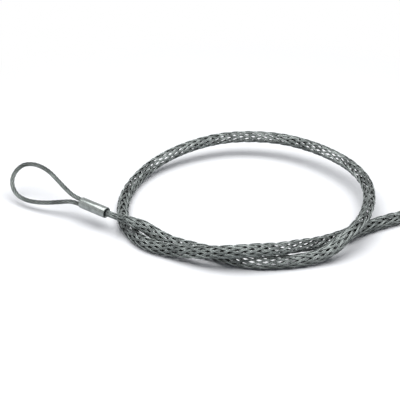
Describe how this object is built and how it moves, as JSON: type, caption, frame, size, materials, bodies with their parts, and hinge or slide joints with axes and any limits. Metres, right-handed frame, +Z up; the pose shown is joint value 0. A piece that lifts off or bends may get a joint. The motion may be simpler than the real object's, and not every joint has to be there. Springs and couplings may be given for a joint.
{
  "type": "cable pulling grip",
  "caption": "Single-eye cable pulling grip: a wire rope eye pressed into a ferrule, and a long open woven wire sleeve lying in one loop.",
  "frame": {"origin": "on the ground, under the middle of the whole grip as it lies", "axes": "+Z up; +X from the eye towards the sleeve's open mouth; +Y across, away from the crossing runs"},
  "size_m": [0.5108, 0.2574, 0.0373],
  "materials": {
    "rope_steel": "galvanised wire rope, dull grey",
    "ferrule_steel": "bright zinc-plated steel, smooth",
    "wire_steel": "galvanised steel wire, satin grey"
  },
  "bodies": {
    "root": {"eye_rope": "rope_steel", "ferrule": "ferrule_steel", "strand_1": "wire_steel", "strand_2": "wire_steel", "strand_3": "wire_steel", "strand_4": "wire_steel", "strand_5": "wire_steel", "strand_6": "wire_steel", "strand_7": "wire_steel", "strand_8": "wire_steel"}
  },
  "joints": []
}
